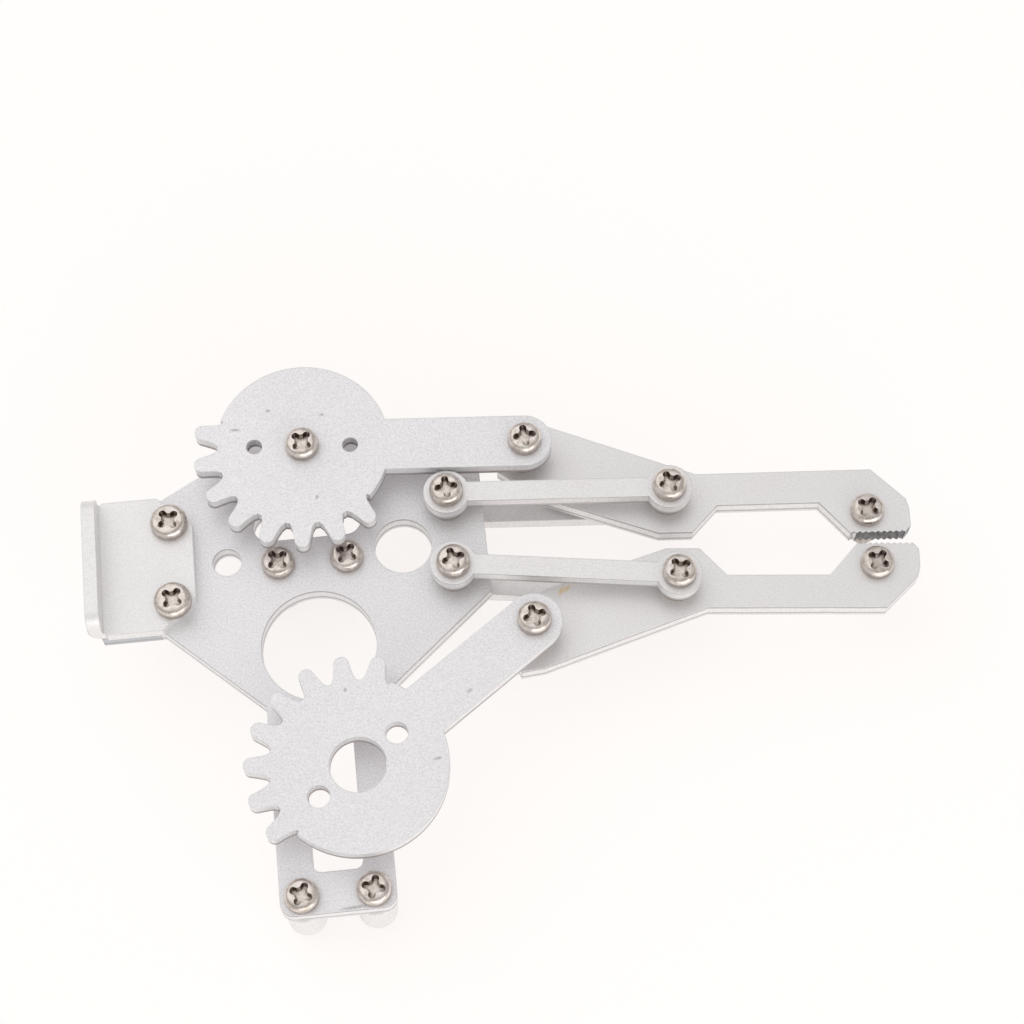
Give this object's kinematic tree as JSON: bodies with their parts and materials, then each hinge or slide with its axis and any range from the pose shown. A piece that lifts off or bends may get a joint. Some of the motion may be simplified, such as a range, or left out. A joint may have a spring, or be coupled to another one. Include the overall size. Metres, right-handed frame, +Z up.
{
  "type": "servo gripper claw",
  "caption": "Two-finger aluminium servo claw: toothed levers and links swing hooked serrated fingers on a forked base plate with a rear bracket.",
  "frame": {"origin": "centre of the round servo-shaft opening, on the top face of the base plate", "axes": "+X from the rear bracket towards the finger tips, +Z up out of the plate's top face (screw-head side), +Y across the plate towards the idler lever"},
  "size_m": [0.1208, 0.081, 0.022],
  "materials": {
    "blasted_aluminium": "bead-blasted, fine speckle",
    "plain_aluminium": "fine mill finish, satin",
    "bracket_aluminium": "satin sheet with bright bend",
    "spacer_aluminium": "pale turned tube",
    "nickel_steel": "nickel-plated, slightly warm"
  },
  "bodies": {
    "base": {"base_plate": "blasted_aluminium", "rear_bracket": "bracket_aluminium", "bracket_screws": "nickel_steel", "bracket_nuts": "nickel_steel", "servo_screws": "nickel_steel", "servo_spacers": "spacer_aluminium", "idler_pivot_screw": "nickel_steel", "idler_pivot_spacer": "nickel_steel", "idler_pivot_nut": "nickel_steel", "idler_link_base_screw": "nickel_steel", "drive_link_base_screw": "nickel_steel", "link_base_spacers": "nickel_steel", "link_base_washers": "nickel_steel", "link_base_nuts": "nickel_steel"},
    "idler_lever": {"idler_gear_lever": "blasted_aluminium"},
    "idler_link": {"idler_link_top": "plain_aluminium", "idler_link_bottom": "plain_aluminium"},
    "idler_finger": {"idler_finger": "plain_aluminium", "idler_lever_pivot_screw": "nickel_steel", "idler_lever_pivot_nut": "nickel_steel", "idler_link_pivot_screw": "nickel_steel", "idler_link_pivot_nut": "nickel_steel", "idler_finger_spacers": "nickel_steel", "idler_finger_washer": "nickel_steel", "idler_tip_screw": "nickel_steel", "idler_tip_nut": "nickel_steel"},
    "drive_link": {"drive_link_top": "plain_aluminium", "drive_link_bottom": "plain_aluminium"},
    "drive_finger": {"drive_finger": "plain_aluminium", "drive_lever_pivot_screw": "nickel_steel", "drive_lever_pivot_nut": "nickel_steel", "drive_link_pivot_screw": "nickel_steel", "drive_link_pivot_nut": "nickel_steel", "drive_finger_spacers": "nickel_steel", "drive_finger_washer": "nickel_steel", "drive_tip_screw": "nickel_steel", "drive_tip_nut": "nickel_steel"},
    "drive_lever": {"drive_gear_lever": "blasted_aluminium"}
  },
  "joints": [
    {"name": "idler_lever_pivot", "type": "hinge", "parent": "base", "child": "idler_lever", "pos_m": [0, 0.0291, 0], "axis": [0, 0, 1], "range_deg": [0, 50]},
    {"name": "idler_link_pivot", "type": "hinge", "parent": "base", "child": "idler_link", "pos_m": [0.0203, 0.02013, 0], "axis": [0, 0, 1], "range_deg": [0, 50]},
    {"name": "idler_finger_pivot", "type": "hinge", "parent": "idler_lever", "child": "idler_finger", "pos_m": [0.03241, 0.02666, 0], "axis": [0, 0, 1], "range_deg": [-50, 0]},
    {"name": "drive_link_pivot", "type": "hinge", "parent": "base", "child": "drive_link", "pos_m": [0.0203, 0.00897, 0], "axis": [0, 0, 1], "range_deg": [-42, 0.5]},
    {"name": "drive_finger_pivot", "type": "hinge", "parent": "drive_link", "child": "drive_finger", "pos_m": [0.05244, 0.00417, 0], "axis": [0, 0, 1], "range_deg": [-0.5, 42]},
    {"name": "drive_lever_pivot", "type": "hinge", "parent": "drive_finger", "child": "drive_lever", "pos_m": [0.03092, -0.00123, 0], "axis": [0, 0, 1], "range_deg": [-22, 45]}
  ],
  "couplings": [
    {"joint": "idler_link_pivot", "follows": "idler_lever_pivot", "ratio": 1},
    {"joint": "idler_finger_pivot", "follows": "idler_lever_pivot", "ratio": -1},
    {"joint": "drive_finger_pivot", "follows": "drive_link_pivot", "ratio": -1}
  ]
}
